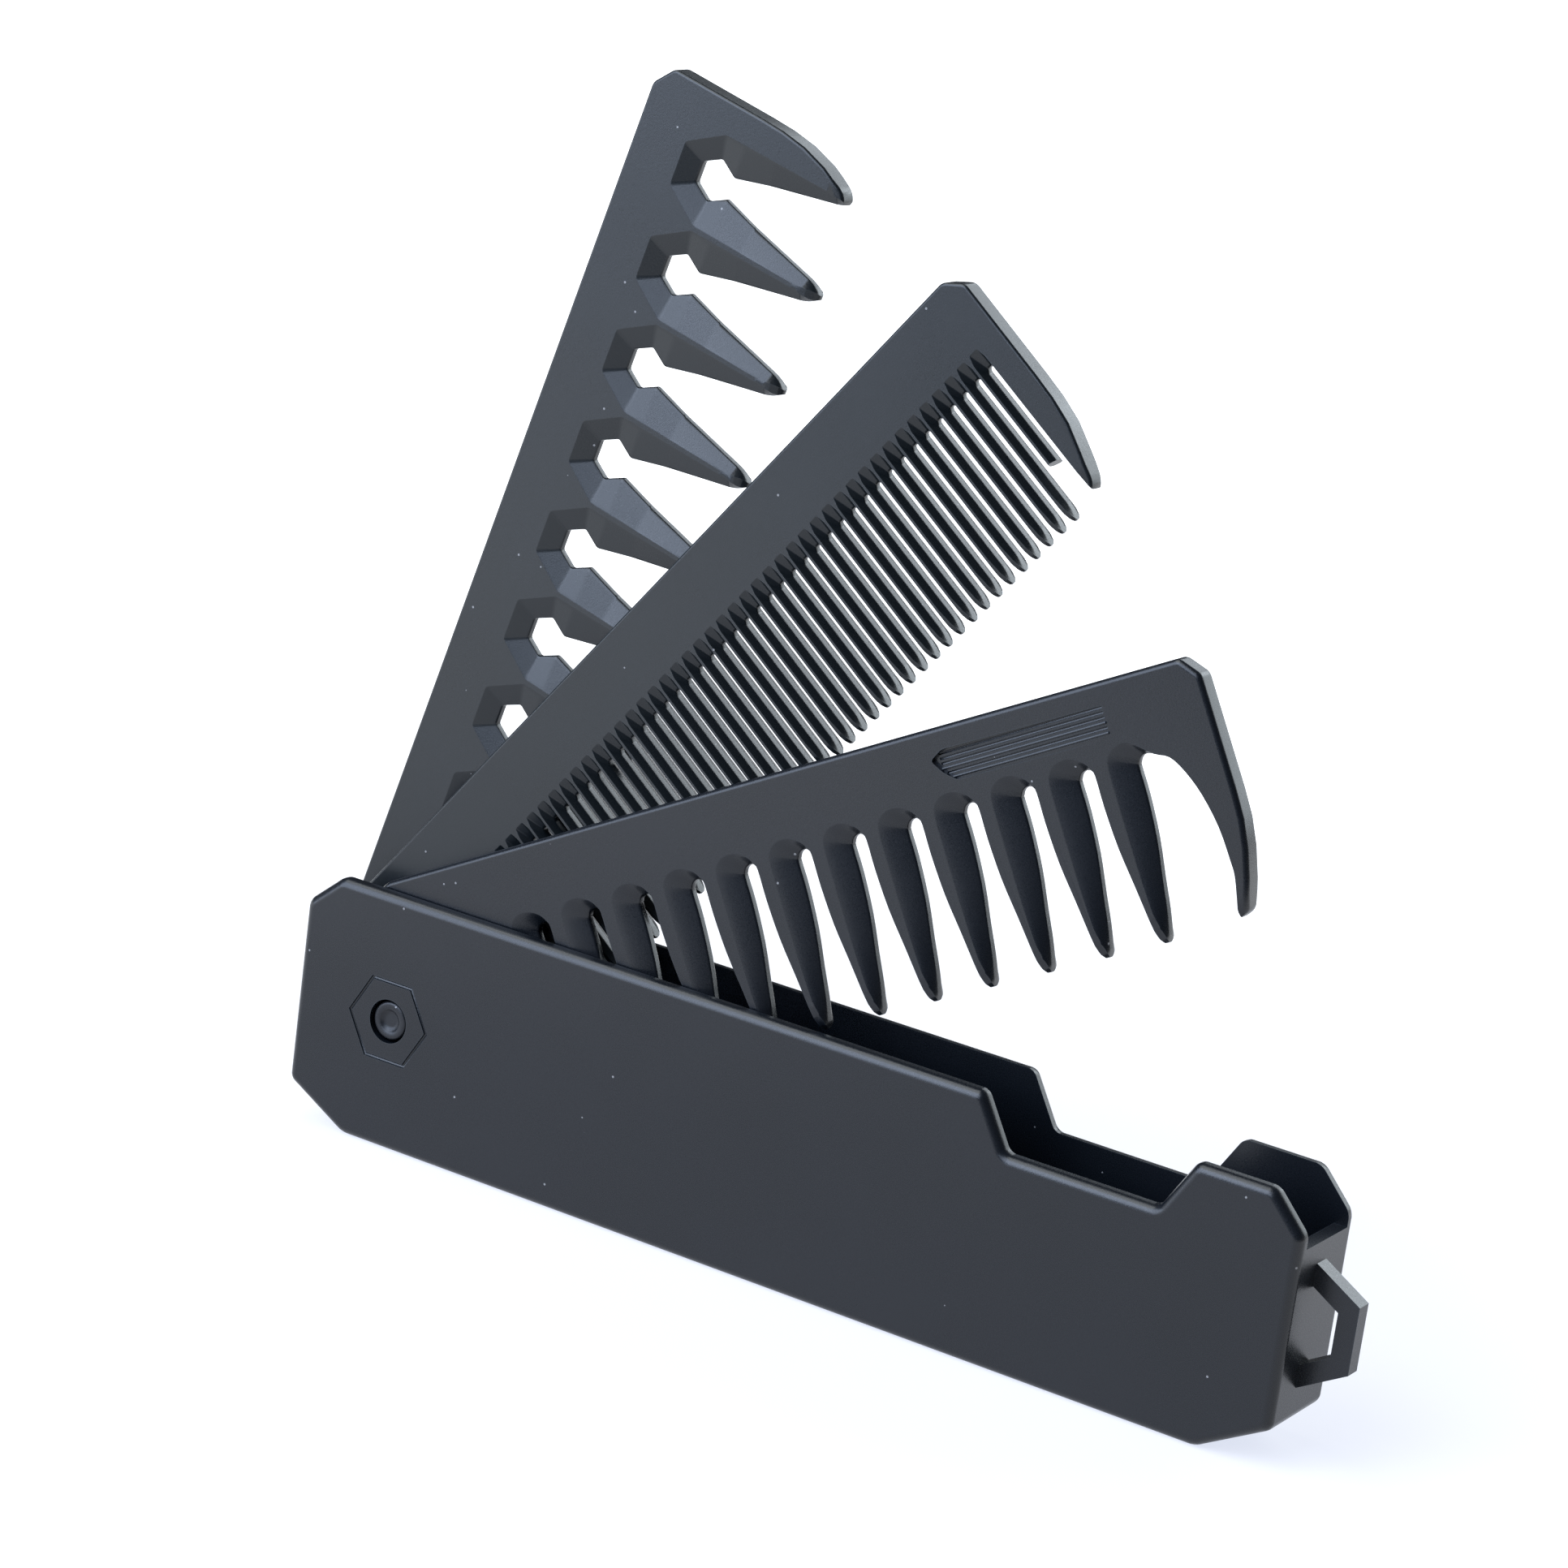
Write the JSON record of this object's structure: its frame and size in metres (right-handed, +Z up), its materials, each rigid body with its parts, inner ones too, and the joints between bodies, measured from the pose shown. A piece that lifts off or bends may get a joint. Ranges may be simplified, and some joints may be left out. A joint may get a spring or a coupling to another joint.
{
  "type": "folding comb",
  "caption": "Folding pocket comb: a detangling, a fine and a wide toothed comb turn on a pin and fold into a slim case with a key loop.",
  "frame": {"origin": "centre of the case's bottom face: halfway along the 130 mm body and halfway through its width", "axes": "+X along the case from the pivot end to the key loop; +Y from the wide comb's side, the front, to the detangling comb's side; +Z up, towards the open top edge"},
  "size_m": [0.1355, 0.0128, 0.1286],
  "materials": {
    "black_plastic": "matt moulded, fine grain",
    "charcoal_plastic": "matt moulded, slightly lighter",
    "pin": "blackened, satin"
  },
  "bodies": {
    "case": {"case": "black_plastic", "pivot_pin": "pin"},
    "detangling_comb": {"detangling_comb": "charcoal_plastic"},
    "fine_comb": {"fine_comb": "charcoal_plastic"},
    "wide_comb": {"wide_comb": "black_plastic"}
  },
  "joints": [
    {"name": "detangling_comb_fold", "type": "hinge", "parent": "case", "child": "detangling_comb", "pos_m": [-0.0516, 0.0031, 0.01545], "axis": [0, -1, 0], "range_deg": [-75, 105]},
    {"name": "fine_comb_fold", "type": "hinge", "parent": "case", "child": "fine_comb", "pos_m": [-0.0516, 0, 0.01545], "axis": [0, -1, 0], "range_deg": [-52.8, 127.2]},
    {"name": "wide_comb_fold", "type": "hinge", "parent": "case", "child": "wide_comb", "pos_m": [-0.0516, -0.0031, 0.01545], "axis": [0, -1, 0], "range_deg": [-28.4, 151.6]}
  ]
}
